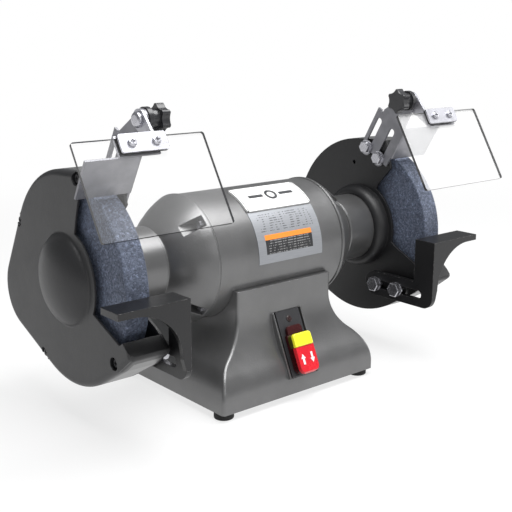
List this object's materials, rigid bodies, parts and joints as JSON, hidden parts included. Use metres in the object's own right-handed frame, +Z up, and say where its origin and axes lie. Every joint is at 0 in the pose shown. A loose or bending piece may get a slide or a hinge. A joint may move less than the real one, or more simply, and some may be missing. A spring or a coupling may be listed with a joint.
{
  "type": "bench grinder",
  "caption": "Bench grinder with a motor between two guarded wheels, adjustable tool rests, spark guards and tilting eye shields, on a flared base with a paddle switch.",
  "frame": {"origin": "centre of the bench bolt pattern, level with the underside of the feet", "axes": "+X along the shaft to the operator's right, -Y towards the operator, +Z up"},
  "size_m": [0.5506, 0.2991, 0.3306],
  "materials": {
    "grey_paint": "satin",
    "charcoal_paint": "satin",
    "black_paint": "satin",
    "zinc_sheet": "satin",
    "zinc_hardware": "satin",
    "black_hardware": "satin",
    "black_rubber": "matte",
    "black_plastic": "matte",
    "capacitor_can": "satin",
    "red_plastic": "gloss",
    "yellow_plastic": "gloss",
    "lens_plastic": "gloss",
    "lamination_steel": "satin",
    "winding_copper": "satin",
    "badge_paint": "satin",
    "label_foil": "satin",
    "shaft_steel": "satin",
    "cast_aluminium": "satin",
    "bearing_steel": "gloss",
    "abrasive": "matte",
    "blotter_paper": "matte",
    "clear_sheet": "gloss"
  },
  "bodies": {
    "machine": {"badge_plate": "badge_paint", "base_casting": "grey_paint", "base_plate": "zinc_sheet", "base_plate_screws": "zinc_hardware", "bearing_outer_rings": "bearing_steel", "capacitor": "capacitor_can", "cord_gland": "black_plastic", "end_bell_left": "grey_paint", "end_bell_right": "grey_paint", "guard_band_left": "grey_paint", "guard_band_right": "grey_paint", "guard_cover_left": "charcoal_paint", "guard_cover_right": "charcoal_paint", "guard_cover_screws": "zinc_hardware", "guard_plate_left": "black_paint", "guard_plate_right": "black_paint", "guard_plate_screws": "black_hardware", "indicator_lens": "lens_plastic", "motor_shell": "grey_paint", "rating_plate": "label_foil", "rubber_feet": "black_rubber", "saddle_bolts": "zinc_hardware", "spark_guard_bolts": "zinc_hardware", "stator_core": "lamination_steel", "stator_windings": "winding_copper", "switch_housing": "black_plastic", "switch_plate": "black_plastic", "through_bolts": "zinc_hardware", "tool_rest_bolts": "zinc_hardware"},
    "rotor": {"arbor_nuts": "zinc_hardware", "bearing_balls": "bearing_steel", "bearing_inner_rings": "bearing_steel", "grinding_wheel_left": "abrasive", "grinding_wheel_right": "abrasive", "rotor_core": "lamination_steel", "rotor_end_rings": "cast_aluminium", "shaft": "shaft_steel", "wheel_blotters": "blotter_paper", "wheel_flanges": "zinc_hardware"},
    "spark_guard_left_body": {"pivot_bolt_left": "zinc_hardware", "spark_guard_left": "zinc_sheet"},
    "spark_guard_right_body": {"pivot_bolt_right": "zinc_hardware", "spark_guard_right": "zinc_sheet"},
    "eye_shield_left_body": {"eye_shield_left": "clear_sheet", "shield_arm_left": "zinc_sheet", "shield_clamp_left": "zinc_sheet", "shield_gasket_left": "black_rubber", "shield_screws_left": "zinc_hardware"},
    "eye_shield_right_body": {"eye_shield_right": "clear_sheet", "shield_arm_right": "zinc_sheet", "shield_clamp_right": "zinc_sheet", "shield_gasket_right": "black_rubber", "shield_screws_right": "zinc_hardware"},
    "knob_left_body": {"knob_left": "black_plastic"},
    "knob_right_body": {"knob_right": "black_plastic"},
    "tool_rest_left_body": {"tool_rest_left": "black_paint"},
    "tool_rest_right_body": {"tool_rest_right": "black_paint"},
    "paddle": {"switch_paddle": "red_plastic"},
    "key": {"safety_key": "yellow_plastic"}
  },
  "joints": [
    {"name": "rotor_spin", "type": "hinge", "parent": "machine", "child": "rotor", "pos_m": [0, 0, 0.155], "axis": [1, 0, 0], "continuous": true},
    {"name": "spark_guard_left_slide", "type": "slide", "parent": "machine", "child": "spark_guard_left_body", "axis": [0, -0.5, 0.866], "range_m": [-0.0022, 0.0025]},
    {"name": "eye_shield_left_tilt", "type": "hinge", "parent": "spark_guard_left_body", "child": "eye_shield_left_body", "pos_m": [-0.188, -0.07905, 0.31651], "axis": [1, 0, 0], "range_deg": [-75, 10]},
    {"name": "knob_left_turn", "type": "hinge", "parent": "spark_guard_left_body", "child": "knob_left_body", "pos_m": [-0.172, -0.07905, 0.31651], "axis": [1, 0, 0], "range_deg": [0, 360]},
    {"name": "tool_rest_left_slide", "type": "slide", "parent": "machine", "child": "tool_rest_left_body", "axis": [0, 1, 0], "range_m": [-0.004, 0.0035]},
    {"name": "spark_guard_right_slide", "type": "slide", "parent": "machine", "child": "spark_guard_right_body", "axis": [0, -0.5, 0.866], "range_m": [-0.0022, 0.0025]},
    {"name": "eye_shield_right_tilt", "type": "hinge", "parent": "spark_guard_right_body", "child": "eye_shield_right_body", "pos_m": [0.188, -0.07905, 0.31651], "axis": [1, 0, 0], "range_deg": [-75, 10]},
    {"name": "knob_right_turn", "type": "hinge", "parent": "spark_guard_right_body", "child": "knob_right_body", "pos_m": [0.172, -0.07905, 0.31651], "axis": [1, 0, 0], "range_deg": [0, 360]},
    {"name": "tool_rest_right_slide", "type": "slide", "parent": "machine", "child": "tool_rest_right_body", "axis": [0, 1, 0], "range_m": [-0.004, 0.0035]},
    {"name": "switch_paddle_swing", "type": "hinge", "parent": "machine", "child": "paddle", "pos_m": [0, -0.08049, 0.07107], "axis": [1, 0, 0], "range_deg": [-8, 0]},
    {"name": "safety_key_slide", "type": "slide", "parent": "paddle", "child": "key", "axis": [0, -0.9121, 0.4099], "range_m": [0, 0.014]}
  ]
}
